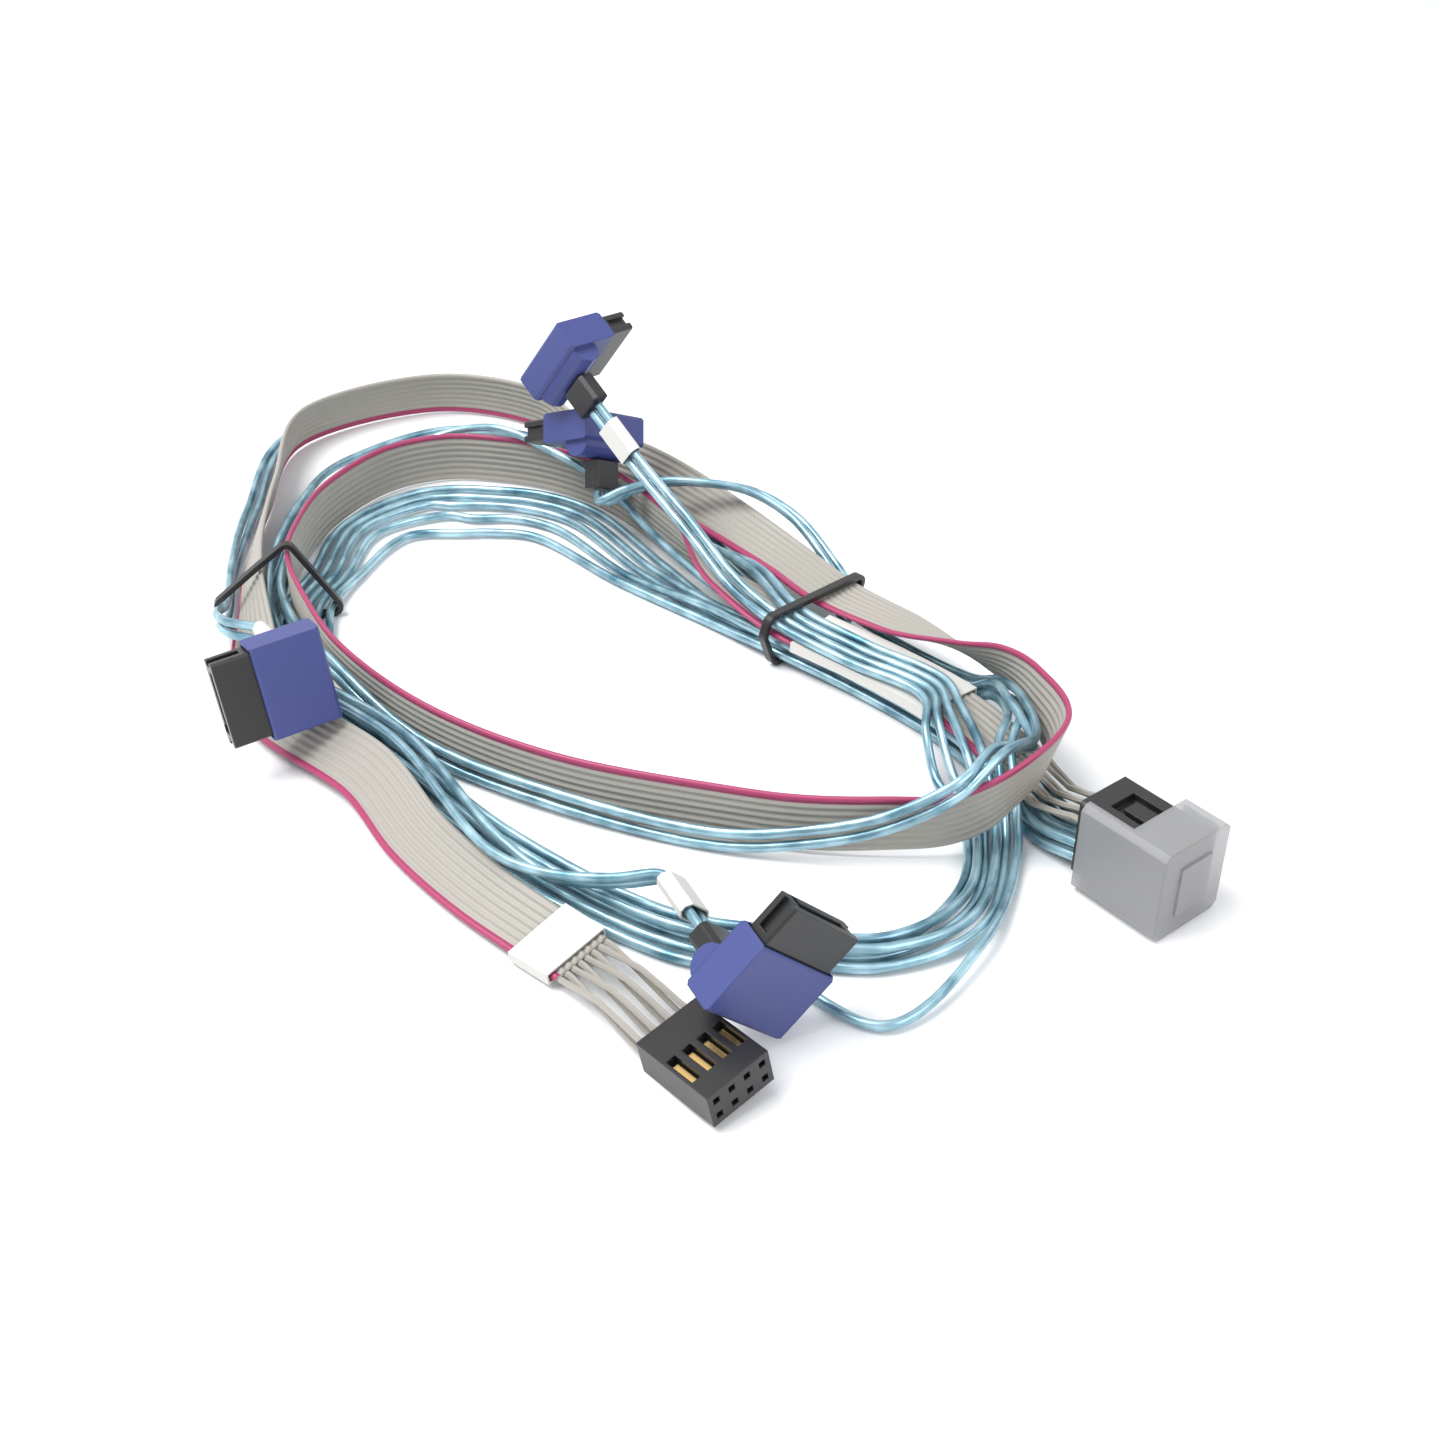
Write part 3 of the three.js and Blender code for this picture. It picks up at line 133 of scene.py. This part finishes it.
# First lap, strand 1 to 8 at each station: distance to the outside and height
FIRST_LAP = {
    "plug": [
        [-3.2, 3.0], [-1.05, 3.0], [1.1, 3.0], [-3.2, 5.5],
        [-1.05, 5.5], [1.1, 5.5], [3.25, 5.5], [3.25, 3.0],
    ],
    "plugNear": [
        [-3.2, 1.6], [-1.05, 1.6], [1.1, 1.6], [-3.2, 4.1],
        [-1.05, 4.1], [1.1, 4.1], [3.25, 4.1], [3.25, 1.6],
    ],
    "ribbonStart": [
        [-3.2, 1.3], [-1.05, 1.3], [1.1, 1.3], [-3.2, 3.8],
        [-1.05, 3.8], [1.1, 3.8], [3.25, 3.8], [3.25, 1.3],
    ],
    "labelEnd": [
        [-3.7, 1.3], [-1.55, 1.3], [0.6, 1.3], [-3.7, 3.8],
        [-1.55, 3.8], [0.6, 3.8], [2.75, 3.8], [2.75, 1.3],
    ],
    "labelMid": [
        [-5.2, 1.3], [-3.05, 1.3], [-0.9, 1.3], [-5.2, 3.8],
        [-3.05, 3.8], [-0.9, 3.8], [1.25, 3.8], [1.25, 1.3],
    ],
    "tieRight": [
        [-6.6, 1.3], [-4.45, 1.3], [-2.3, 1.3], [-6.6, 3.8],
        [-4.45, 3.8], [-2.3, 3.8], [-0.15, 3.8], [-0.15, 1.3],
    ],
    "pastTie": [
        [-8.0, 1.3], [-5.8, 1.3], [-3.6, 1.3], [-7.2, 3.8],
        [-5.2, 3.2], [-3.7, 5.2], [2.9, 3.8], [2.9, 1.3],
    ],
    "backRise": [
        [-13, 1.3], [-8, 1.3], [-3, 1.3], [-10.5, 1.3],
        [-5.5, 1.3], [-3.4, 6.4], [2.5, 3.8], [2.3, 1.3],
    ],
    "backRight": [
        [-18, 1.3], [-9, 1.3], [-3, 1.3], [-13, 1.3],
        [-6, 1.3], [-1.9, 8.0], [1.7, 3.8], [1.7, 1.3],
    ],
    "backMid": [
        [-21.5, 1.3], [-10.5, 1.3], [-4, 1.3], [-15, 1.3],
        [-7.5, 1.3], [-2.0, 10.6], [4.6, 3.6], [4.0, 1.3],
    ],
    "back": [
        [-23.5, 1.3], [-12, 1.3], [-5.5, 1.3], [-17.5, 1.3],
        [-9, 1.3], [0.0, 12.2], [10.5, 1.3], [7.0, 1.3],
    ],
    "backLeft": [None, [-13, 1.3], [-6, 1.3], None, [-9.5, 1.3], [3.1, 9.0], [12, 1.3], [8, 1.3]],
    "cornerLeft": [None, [-11, 1.3], [-5, 1.3], [-17, 1.3], [-8, 1.3], [3.0, 4.8], [8.6, 3.4], [6.5, 1.3]],
    "leftUpper": [
        [-15.5, 1.3], [-6.3, 1.3], [-1.9, 1.3], [-9.5, 1.3],
        [-4.1, 1.3], [1.8, 5.0], [4.2, 4.2], [4.3, 1.5],
    ],
    "left": [
        [-10, 1.3], [-5.6, 1.3], [-1.2, 1.3], [-7.8, 1.3],
        [-3.4, 1.3], [1.8, 4.0], [2.0, 6.8], [4.2, 1.3],
    ],
    "tieLeft": [
        [-6.45, 1.3], [-2.15, 1.3], [2.15, 1.3], [-4.3, 1.3],
        [0, 1.3], [1.8, 3.9], [1.8, 6.5], [4.3, 1.3],
    ],
    "underHead": [
        [-3, 1.3], [1.3, 1.3], [5.6, 1.3], [-0.5, 1.3],
        [3.45, 1.3], [1.9, 5.2], [1.9, 7.7], [7.75, 1.3],
    ],
    "frontLeft": [
        [3.7, 1.3], [5.85, 1.3], [8.0, 1.3], [4.8, 3.6],
        [6.9, 3.8], [1.7, 6.0], [1.7, 8.5], [10.15, 1.3],
    ],
    "frontStart": [
        [3.9, 1.3], [6.05, 1.3], [8.2, 1.3], [5.0, 3.8],
        [7.1, 3.8], [1.7, 2.0], [1.7, 4.5], [10.35, 1.3],
    ],
    "frontMid": [
        [11.5, 1.3], [13.65, 1.3], [15.8, 1.3], [12.6, 3.8],
        [14.7, 3.8], [1.7, 1.8], [1.7, 4.3], [17.95, 1.3],
    ],
    "front": [
        [21, 1.3], [23.1, 1.3], [25.3, 1.3], [22, 3.8],
        [24.2, 3.8], [3.0, 1.4], [3.0, 3.9], [27.6, 1.3],
    ],
    "frontHalf": [
        [21, 1.3], [23.1, 1.3], [25.3, 1.3], [22, 3.8],
        [24.2, 3.8], [2.6, 3.4], [2.6, 5.9], [28.5, 1.3],
    ],
    "frontRight": [
        [20.9, 1.3], [23, 1.3], [25.2, 1.3], [21.9, 3.8],
        [24.1, 3.8], [2.4, 7.0], [2.4, 9.5], [36.5, 1.3],
    ],
    "curveStart": [
        [8.0, 1.2], [13.2, 1.3], [18.4, 1.9], [11.0, 2.4],
        [15.8, 2.5], [2.4, 13.2], [2.0, 15.5], [21.5, 2.7],
    ],
    "curveFront": [
        [-9.5, 1.3], [-3.9, 1.3], [0.8, 1.4], [-6.6, 2.5],
        [-1.5, 2.6], [-1.6, 16.8], [-3.8, 16.2], [3.2, 2.0],
    ],
    "curve": [
        [-17.5, 2.0], [-12.8, 6.6], [-8.6, 9.8], [-15.2, 3.8],
        [-10.8, 8.2], [-3.2, 13.0], [-3.5, 11.3], [-6.6, 10.3],
    ],
    "curveBack": [None, None, [-3.4, 8.4], None, None, [-1.2, 11.0], [-3.8, 11.5], [-1.2, 8.4]],
    "curveOut": [
        [-16.3, 6.8], [-11.1, 8.4], [-0.9, 7.0], [-13.7, 8.0],
        [-8.5, 8.4], [1.3, 8.8], [-0.9, 9.3], [1.3, 6.4],
    ],
    "curveEnd": [
        [-10.2, 8.4], [-5.9, 8.4], [1.6, 1.5], [-8, 8.4],
        [-3.7, 8.4], [5.2, 4.0], [1.6, 4.0], [5.2, 1.5],
    ],
    "nearTie": [
        [-8.3, 8.2], [-4.0, 8.2], [2.7, 1.4], [-6.2, 8.2],
        [-1.9, 8.2], [7.5, 3.9], [2.7, 3.9], [7.5, 1.4],
    ],
    "tieRightAgain": [
        [-7.5, 7.7], [-3.2, 7.7], [2.9, 1.4], [-5.35, 7.7],
        [-1.05, 7.7], [9.6, 3.9], [2.9, 3.9], [9.6, 1.4],
    ],
}

# Second lap of the strands that go round again
SECOND_LAP = {
    "pastTie": {2: [1.6, 8.6], 5: [3.9, 7.9], 3: [5.1, 1.3], 7: [5.1, 3.8]},
    "backRise": {2: [2.3, 6.5], 5: [4.8, 3.8], 3: [7.6, 1.3], 7: [7.6, 3.9]},
    "backRight": {2: [4.3, 4.2], 5: [4.3, 1.3], 3: [10.2, 1.3], 7: [12.6, 1.6]},
    "backMid": {2: [6.9, 3.8], 5: [7.0, 1.3], 3: [13.8, 1.3], 7: [16.0, 1.3]},
    "back": {2: [16, 1.3], 5: [19, 1.3], 3: [28.5, 1.3], 7: [30.7, 1.3]},
    "backLeft": {2: [17, 1.3], 5: [21, 1.3], 3: [34.5, 1.3], 7: [36.7, 1.3]},
    "cornerLeft": {2: [12, 1.3], 5: [16, 1.3], 3: [32.5, 1.3], 7: [34.7, 1.3]},
    "leftUpper": {2: [6.6, 2.7], 5: [6.6, 5.2], 3: [16.8, 1.3], 7: [19.0, 1.3]},
    "left": {2: [4.4, 4.0], 5: [4.8, 6.6], 3: [13.2, 1.3], 7: [13.2, 3.9]},
    "tieLeft": {2: [4.0, 3.9], 5: [4.0, 6.5], 3: [11.7, 1.4], 7: [11.7, 4.0]},
    "underHead": {2: [4.1, 4.0], 5: [6.3, 4.0]},
    "frontLeft": {2: [5.4, 6.3], 5: [7.6, 6.6]},
    "frontStart": {2: [4.0, 6.5], 5: [6.5, 7.0]},
    "frontMid": {2: [16.4, 5.8], 5: [19.6, 6.2]},
}

# Ribbon's first and second lap: distance to the outside, height, and turn of its width in degrees
RIBBON_FIRST = {
    "ribbonStart": [0, 6.3, 180],
    "labelEnd": [-0.5, 6.3, 180],
    "labelMid": [-2.0, 6.1, 180],
    "tieRight": [-3.4, 5.9, 180],
    "pastTie": [-3.0, 7.6, 162],
    "backRise": [-0.8, 7.0, 93],
    "backRight": [0, 5.6, 90],
    "backMid": [0, 5.5, 90],
    "back": [0, 5.5, 90],
    "backLeft": [0, 5.5, 90],
    "cornerLeft": [0, 5.5, 90],
    "leftUpper": [0, 6.0, 90],
    "left": [0, 8.0, 90],
    "tieLeft": [0, 8.2, 90],
    "underHead": [0, 8.2, 90],
    "frontLeft": [0, 6.4, 90],
    "frontStart": [0, 5.5, 90],
    "frontMid": [0, 5.5, 90],
    "front": [0, 5.5, 90],
    "frontHalf": [0, 5.6, 90],
    "frontRight": [0, 6.4, 88],
    "curveStart": [0, 7.2, 84],
    "curveFront": [0, 10.6, 80],
    "curve": [0, 12.8, 74],
    "curveBack": [0.5, 11.6, 86],
    "curveOut": [2.2, 10.8, 108],
    "curveEnd": [4.0, 9.5, 135],
    "nearTie": [7.0, 8.2, 172],
    "tieRightAgain": [7.8, 7.2, 180],
}

RIBBON_SECOND = {
    "pastTie": [10.8, 7.0, 184],
    "backRise": [10.2, 7.6, 200],
    "backRight": [9.4, 6.2, 235],
    "backMid": [11.2, 5.6, 256],
    "back": [24.5, 5.5, 278],
    "backLeft": [31.0, 5.4, 284],
    "cornerLeft": [28.5, 5.4, 286],
    "leftUpper": [13.0, 5.4, 290],
    "left": [9.0, 5.5, 296],
    "tieLeft": [7.2, 5.6, 302],
    "underHead": [10.0, 4.2, 326],
    "frontLeft": [13.5, 4.0, 332],
    "frontStart": [12.8, 4.2, 332],
}

# Flat run of the ribbon to the label by the header: x, y, height and turn
RIBBON_END = [
    [-45.0, -34.0, 2.9, 340],
    [-35.0, -45.5, 2.5, 345],
    [-26.0, -54.0, 2.4, 350],
    [-18.8, -60.5, 2.6, 354],
]

# Where each pair of strands goes after its last station, and its distances off the boot at the end
HEAD_RUNS = [
    {"head": 1, "strands": [4, 1], "run": [[2.2, 26.4, 10.6], [-5.0, 37.0, 15.0]], "lead": [12, 8, 4]},
    {"head": 2, "strands": [7, 3], "run": [[-86.6, 22.0, 5.9], [-82.6, 15.0, 8.4]], "lead": [12, 8, 4]},
    {"head": 3, "strands": [2, 5], "run": [[-24.0, -47.0, 6.2], [-14.5, -50.6, 8.2]], "lead": [12, 8, 4]},
    {
        "head": 4,
        "strands": [8, 6],
        "run": [
            [22.6, 36.5, 3.4], [19.4, 44.5, 5.6], [13.8, 51.6, 9.6], [6.0, 56.0, 12.6],
            [-2.0, 57.4, 13.6], [-10.0, 58.4, 13.4], [-17.0, 57.0, 12.4], [-21.4, 56.6, 10.4],
        ],
        "lead": [1.6],
    },
]

# Places and directions of the heads
HEADS = [
    {"place": [-33.3, 63.4, 37.3], "x": [-0.499, 0.298, -0.814], "y": [0.639, 0.760, -0.114]},
    {"place": [-60.2, -9.8, 15.9], "x": [0.159, -0.163, -0.974], "y": [-0.856, -0.514, -0.054]},
    {"place": [2.9, -77.2, 6.3], "x": [-0.607, -0.372, 0.702], "y": [0.646, 0.282, 0.709]},
    {"place": [-19.6, 65.9, 24.0], "x": [-0.66, -0.61, 0.43], "y": [-0.747, 0.54, -0.379]},
]
STATIONS = list(GUIDE)


def outward(name):
    i = STATIONS.index(name)
    before = GUIDE[STATIONS[max(i - 1, 0)]]
    after = GUIDE["pastTie"] if i == len(STATIONS) - 1 else GUIDE[STATIONS[i + 1]]
    heading = Vector((after[0] - before[0], after[1] - before[1])).normalized()
    return heading.y, -heading.x


def at_station(name, offset, height):
    x, y = GUIDE[name]
    nx, ny = outward(name)
    lift = TIE_LIFT if name in TIES else 0
    return Vector((x + nx * offset, y + ny * offset, height + lift))


def smooth(points, t):
    """Centripetal spline through the points, at a share of its stations."""
    last = len(points) - 1
    spot = t * last
    i = min(int(spot), last - 1)
    w = spot - i
    p1 = points[i]
    p2 = points[i + 1]
    p0 = points[i - 1] if i > 0 else p1 * 2 - p2
    p3 = points[i + 2] if i < last - 1 else p2 * 2 - p1
    d0 = max((p1 - p0).length ** 0.5, SHORTEST)
    d1 = max((p2 - p1).length ** 0.5, SHORTEST)
    d2 = max((p3 - p2).length ** 0.5, SHORTEST)
    m1 = ((p1 - p0) / d0 - (p2 - p0) / (d0 + d1) + (p2 - p1) / d1) * d1
    m2 = ((p2 - p1) / d1 - (p3 - p1) / (d1 + d2) + (p3 - p2) / d2) * d1
    cubic = 2 * p1 - 2 * p2 + m1 + m2
    square = -3 * p1 + 3 * p2 - 2 * m1 - m2
    return cubic * w ** 3 + square * w ** 2 + m1 * w + p1


def tangent(points, t):
    low = max(t - TANGENT_STEP, 0)
    high = min(t + TANGENT_STEP, 1)
    return (smooth(points, high) - smooth(points, low)).normalized()


def axes(item):
    x = Vector(item["x"]).normalized()
    y = Vector(item["y"])
    y = (y - x * y.dot(x)).normalized()
    return x, y, x.cross(y)


def place_on(item, x, y, z):
    ex, ey, ez = axes(item)
    return Vector(item["place"]) + ex * x + ey * y + ez * z


def head_end(strand):
    found = next(entry for entry in HEAD_RUNS if strand in entry["strands"])
    head = HEADS[found["head"] - 1]
    side = (found["strands"].index(strand) - 0.5) * PAIR_PITCH
    across = axes(head)[0] * side
    points = [Vector(place) + across for place in found["run"]]
    for distance in found["lead"] + [0]:
        points.append(place_on(head, side, RIDGE_AT, BOOT_END + CLEARANCE + distance))
    return points


def strand_route(strand):
    points = []
    for name, lanes in FIRST_LAP.items():
        if lanes[strand - 1]:
            points.append(at_station(name, *lanes[strand - 1]))
    for name, lanes in SECOND_LAP.items():
        if strand in lanes:
            points.append(at_station(name, *lanes[strand]))
    return points + head_end(strand)


def ribbon_rows():
    rows = []
    for name, (offset, height, turn) in [*RIBBON_FIRST.items(), *RIBBON_SECOND.items()]:
        angle = math.radians(turn)
        nx, ny = outward(name)
        side = Vector((nx * math.cos(angle), ny * math.cos(angle), math.sin(angle)))
        rows.append((at_station(name, offset, height), side))
    for i, (x, y, height, turn) in enumerate(RIBBON_END):
        before = rows[-1][0] if i == 0 else Vector(RIBBON_END[i - 1][:3])
        after = RIBBON_END[min(i + 1, len(RIBBON_END) - 1)]
        heading = Vector((after[0] - before[0], after[1] - before[1])).normalized()
        angle = math.radians(turn)
        side = Vector((heading.y * math.cos(angle), -heading.x * math.cos(angle), math.sin(angle)))
        rows.append((Vector((x, y, height)), side))
    return rows


def new_mesh(name, points, faces, looks, marks=None, spots=None):
    mesh = bpy.data.meshes.new(name)
    mesh.from_pydata([(point - ORIGIN) * MM for point in points], [], faces)
    for look in looks:
        mesh.materials.append(look)
    if marks:
        mesh.polygons.foreach_set("material_index", marks)
    if spots:
        layer = mesh.uv_layers.new(name="along")
        for loop in mesh.loops:
            layer.data[loop.index].uv = spots[loop.vertex_index]
    mesh.shade_smooth()
    mesh.update()
    piece = bpy.data.objects.new(name, mesh)
    bpy.context.collection.objects.link(piece)
    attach(piece, "root")
    return piece


def loft(name, rings, looks, marks=None, lengths=None):
    """Closed skin through rings of points, with flat ends. marks gives the look of each side."""
    count = len(rings[0])
    points = [point for ring in rings for point in ring]
    faces = []
    indices = []
    for i in range(len(rings) - 1):
        for k in range(count):
            a = i * count + k
            b = i * count + (k + 1) % count
            faces.append((a, a + count, b + count, b))
            indices.append(marks[k] if marks else 0)
    faces.append(tuple(range(count)))
    faces.append(tuple(reversed(range(len(points) - count, len(points)))))
    indices += [0, 0]
    spots = None
    if lengths:
        spots = [(lengths[i], k / count) for i in range(len(rings)) for k in range(count)]
    return new_mesh(name, points, faces, looks, indices, spots)


def running_lengths(points):
    lengths = [0.0]
    for a, b in zip(points, points[1:]):
        lengths.append(lengths[-1] + (b - a).length)
    return lengths


def oval_tube(name, points, look):
    """Strand along the points, its section upright: the piece, its middle line and its length."""
    steps = (len(points) - 1) * STRAND_STEPS
    shares = [i / steps for i in range(steps + 1)]
    line = [smooth(points, t) for t in shares]
    rings = []
    for t, middle in zip(shares, line):
        forward = tangent(points, t)
        side = forward.cross(Vector((0, 0, 1))).normalized()
        up = side.cross(forward)
        ring = []
        for k in range(STRAND_SIDES):
            angle = 2 * math.pi * k / STRAND_SIDES
            x = math.cos(angle) * STRAND_THIN / 2
            y = math.sin(angle) * STRAND_WIDE / 2
            ring.append(middle + side * x + up * y)
        rings.append(ring)
    lengths = running_lengths(line)
    return loft(name, rings, [look], lengths=lengths), line, lengths[-1]


# Materials
def material(name, colour, roughness, metallic=0.0):
    look = bpy.data.materials.new(name)
    look.use_nodes = True
    shader = look.node_tree.nodes["Principled BSDF"]
    shader.inputs["Base Color"].default_value = (*colour, 1)
    shader.inputs["Roughness"].default_value = roughness
    shader.inputs["Metallic"].default_value = metallic
    return look, look.node_tree, shader


def add_bump(tree, shader, height, strength, distance, round_off=0.0):
    bump = tree.nodes.new("ShaderNodeBump")
    bump.inputs["Strength"].default_value = strength
    bump.inputs["Distance"].default_value = distance
    tree.links.new(height, bump.inputs["Height"])
    if round_off:
        bevel = tree.nodes.new("ShaderNodeBevel")
        bevel.inputs["Radius"].default_value = round_off
        tree.links.new(bevel.outputs["Normal"], bump.inputs["Normal"])
    tree.links.new(bump.outputs["Normal"], shader.inputs["Normal"])


def noise(tree, scale, detail=3.0, vector=None):
    node = tree.nodes.new("ShaderNodeTexNoise")
    node.inputs["Scale"].default_value = scale
    node.inputs["Detail"].default_value = detail
    if vector is None:
        vector = tree.nodes.new("ShaderNodeNewGeometry").outputs["Position"]
    tree.links.new(vector, node.inputs["Vector"])
    return node.outputs["Fac"]


def shades(tree, source, low, high, ends):
    ramp = tree.nodes.new("ShaderNodeValToRGB")
    ramp.color_ramp.elements[0].position = ends[0]
    ramp.color_ramp.elements[1].position = ends[1]
    ramp.color_ramp.elements[0].color = (*low, 1)
    ramp.color_ramp.elements[1].color = (*high, 1)
    tree.links.new(source, ramp.inputs["Fac"])
    return ramp.outputs["Color"]


def moulded(name, colour, roughness, grain=0.15, round_off=ROUND_OFF):
    look, tree, shader = material(name, colour, roughness)
    add_bump(tree, shader, noise(tree, GRAIN_WAVES), grain, GRAIN_DEPTH, round_off)
    return look


def foil():
    look, tree, shader = material("foil", (0.3, 0.5, 0.6), 0.3, 0.65)
    along = tree.nodes.new("ShaderNodeUVMap")
    along.uv_map = "along"
    # Fine streaks that run along the strand, painted highlights that also bump the surface, and slow
    # patches of darker tone
    stretch = tree.nodes.new("ShaderNodeMapping")
    stretch.inputs["Scale"].default_value = FOIL_HIGHLIGHT_STREAKS
    tree.links.new(along.outputs["UV"], stretch.inputs["Vector"])
    streaks_and_highlights = noise(tree, 1, 4, stretch.outputs["Vector"])
    patches = noise(tree, FOIL_PATCH_WAVES, 2)
    both = tree.nodes.new("ShaderNodeMath")
    both.operation = "MULTIPLY_ADD"
    both.inputs[1].default_value = FOIL_HIGHLIGHT_SHARE
    tree.links.new(streaks_and_highlights, both.inputs[0])
    tree.links.new(patches, both.inputs[2])
    dull = (0.07, 0.18, 0.25)
    # The light end of the ramp is the painted highlight colour that the streaks put on the foil
    highlight_tint = (0.42, 0.63, 0.71)
    colours = shades(tree, both.outputs[0], dull, highlight_tint, (0.55, 1.05))
    tree.links.new(colours, shader.inputs["Base Color"])
    add_bump(tree, shader, streaks_and_highlights, 0.35, FOIL_DEPTH)
    return look


def cap_plastic():
    look, tree, shader = material("cap", (0.34, 0.34, 0.35), 0.32)
    shader.inputs["Alpha"].default_value = CAP_ALPHA
    shader.inputs["Subsurface Weight"].default_value = CAP_GLOW
    shader.inputs["Subsurface Scale"].default_value = CAP_GLOW_DEPTH
    add_bump(tree, shader, noise(tree, CAP_WAVES), 0.1, WAVE_DEPTH, CAP_ROUND_OFF)
    return look


def paper():
    look, tree, shader = material("paper", (0.6, 0.59, 0.56), 0.55)
    add_bump(tree, shader, noise(tree, PAPER_WAVES), 0.2, WAVE_DEPTH)
    return look


LOOKS = {
    "foil": foil(),
    "ribbon": moulded("ribbon", (0.33, 0.31, 0.275), 0.45, 0.2, 0),
    "red": moulded("ribbon_red", (0.33, 0.035, 0.11), 0.4, 0.2, 0),
    "blue": moulded("blue", (0.040, 0.054, 0.20), 0.45),
    "black": moulded("black", (0.013, 0.013, 0.014), 0.33),
    "cap": cap_plastic(),
    "gold": material("gold", (0.75, 0.52, 0.2), 0.25, 1.0)[0],
    "board": moulded("board", (0.01, 0.09, 0.04), 0.4),
    "paper": paper(),
}


def dress_cad_nodes():
    slots = {entry["node"]: entry["material_slot"] for entry in frame["record"]["subparts"]}
    for name, slot in slots.items():
        node = bpy.data.objects[name]
        node.data.materials.clear()
        node.data.materials.append(LOOKS[slot])


# Strands, each led to the head that it ends in, in place of the CAD strand
def add_strands():
    for strand in range(1, STRANDS + 1):
        piece, line, length = oval_tube(f"foil_strand_{strand}", strand_route(strand), LOOKS["foil"])
        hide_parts(f"strand_{strand}")
        print(piece.name, "length", round(length), "mm")


def ribbon_section():
    """Points round the ribbon's section, each across and off its face, and their conductors."""
    points = []
    owners = []
    for face in (1, -1):
        order = range(CONDUCTORS) if face == 1 else reversed(range(CONDUCTORS))
        for i in order:
            middle = (i - (CONDUCTORS - 1) / 2) * CONDUCTOR_PITCH
            for k in range(LOBE_STEPS):
                share = (k + 0.5) / LOBE_STEPS
                x = (share - 0.5) * CONDUCTOR_PITCH * face
                round_height = math.sqrt(max(CONDUCTOR_R ** 2 - x ** 2, 0))
                points.append((middle + x, face * max(round_height, RIBBON_WEB)))
                owners.append(i)
    return points, owners


def add_ribbon():
    rows = ribbon_rows()
    places = [row[0] for row in rows]
    sides = [row[1] for row in rows]
    section, owners = ribbon_section()
    steps = (len(rows) - 1) * RIBBON_STEPS
    rings = []
    line = []
    for i in range(steps + 1):
        t = i / steps
        middle = smooth(places, t)
        forward = tangent(places, t)
        across = smooth(sides, t)
        across = (across - forward * across.dot(forward)).normalized()
        face = across.cross(forward)
        line.append(middle)
        rings.append([middle + across * x + face * y for x, y in section])
    marks = [1 if owner == CONDUCTORS - 1 else 0 for owner in owners]
    lengths = running_lengths(line)
    piece = loft("flat_ribbon", rings, [LOOKS["ribbon"], LOOKS["red"]], marks, lengths)
    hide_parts("ribbon")
    print(piece.name, "length", round(lengths[-1]), "mm")


def set_stage():
    bpy.ops.mesh.primitive_plane_add(size=FLOOR_SIZE, location=(0, 0, 0))
    floor = bpy.context.object
    floor.name = "floor"
    floor.data.materials.append(material("floor", (0.86, 0.86, 0.86), 0.8)[0])
    world = bpy.data.worlds.new("studio")
    bpy.context.scene.world = world
    world.use_nodes = True
    tree = world.node_tree
    tree.nodes.clear()
    rays = tree.nodes.new("ShaderNodeLightPath")
    seen = tree.nodes.new("ShaderNodeBackground")
    seen.inputs["Color"].default_value = (1, 1, 1, 1)
    soft = tree.nodes.new("ShaderNodeBackground")
    soft.inputs["Color"].default_value = (0.93, 0.96, 1, 1)
    soft.inputs["Strength"].default_value = SOFT_SKY
    mix = tree.nodes.new("ShaderNodeMixShader")
    out = tree.nodes.new("ShaderNodeOutputWorld")
    white = rays.outputs["Is Camera Ray"]
    for kind in ("Is Glossy Ray", "Is Transmission Ray"):
        either = tree.nodes.new("ShaderNodeMath")
        either.operation = "MAXIMUM"
        tree.links.new(white, either.inputs[0])
        tree.links.new(rays.outputs[kind], either.inputs[1])
        white = either.outputs[0]
    tree.links.new(white, mix.inputs["Fac"])
    tree.links.new(soft.outputs["Background"], mix.inputs[1])
    tree.links.new(seen.outputs["Background"], mix.inputs[2])
    tree.links.new(mix.outputs["Shader"], out.inputs["Surface"])


def add_light(name, place, energy, size):
    data = bpy.data.lights.new(name, "AREA")
    data.energy = energy
    data.size = size
    lamp = bpy.data.objects.new(name, data)
    lamp.location = place
    lamp.rotation_euler = (-Vector(place)).to_track_quat("-Z", "Y").to_euler()
    bpy.context.collection.objects.link(lamp)


def add_camera():
    data = bpy.data.cameras.new("camera")
    data.lens = CAMERA_LENS
    data.sensor_width = CAMERA_SENSOR
    camera = bpy.data.objects.new("camera", data)
    camera.location = (CAMERA_PLACE - ORIGIN) * MM
    camera.rotation_euler = (math.radians(CAMERA_TILT), 0, 0)
    bpy.context.collection.objects.link(camera)
    bpy.context.scene.camera = camera


add_camera()
set_stage()
add_light("key", (-0.35, -0.1, 0.7), 7.5, 0.5)
add_light("fill", (0.6, -0.5, 0.5), 3.0, 0.6)
dress_cad_nodes()
add_strands()
add_ribbon()
bpy.context.scene.view_settings.view_transform = "Standard"
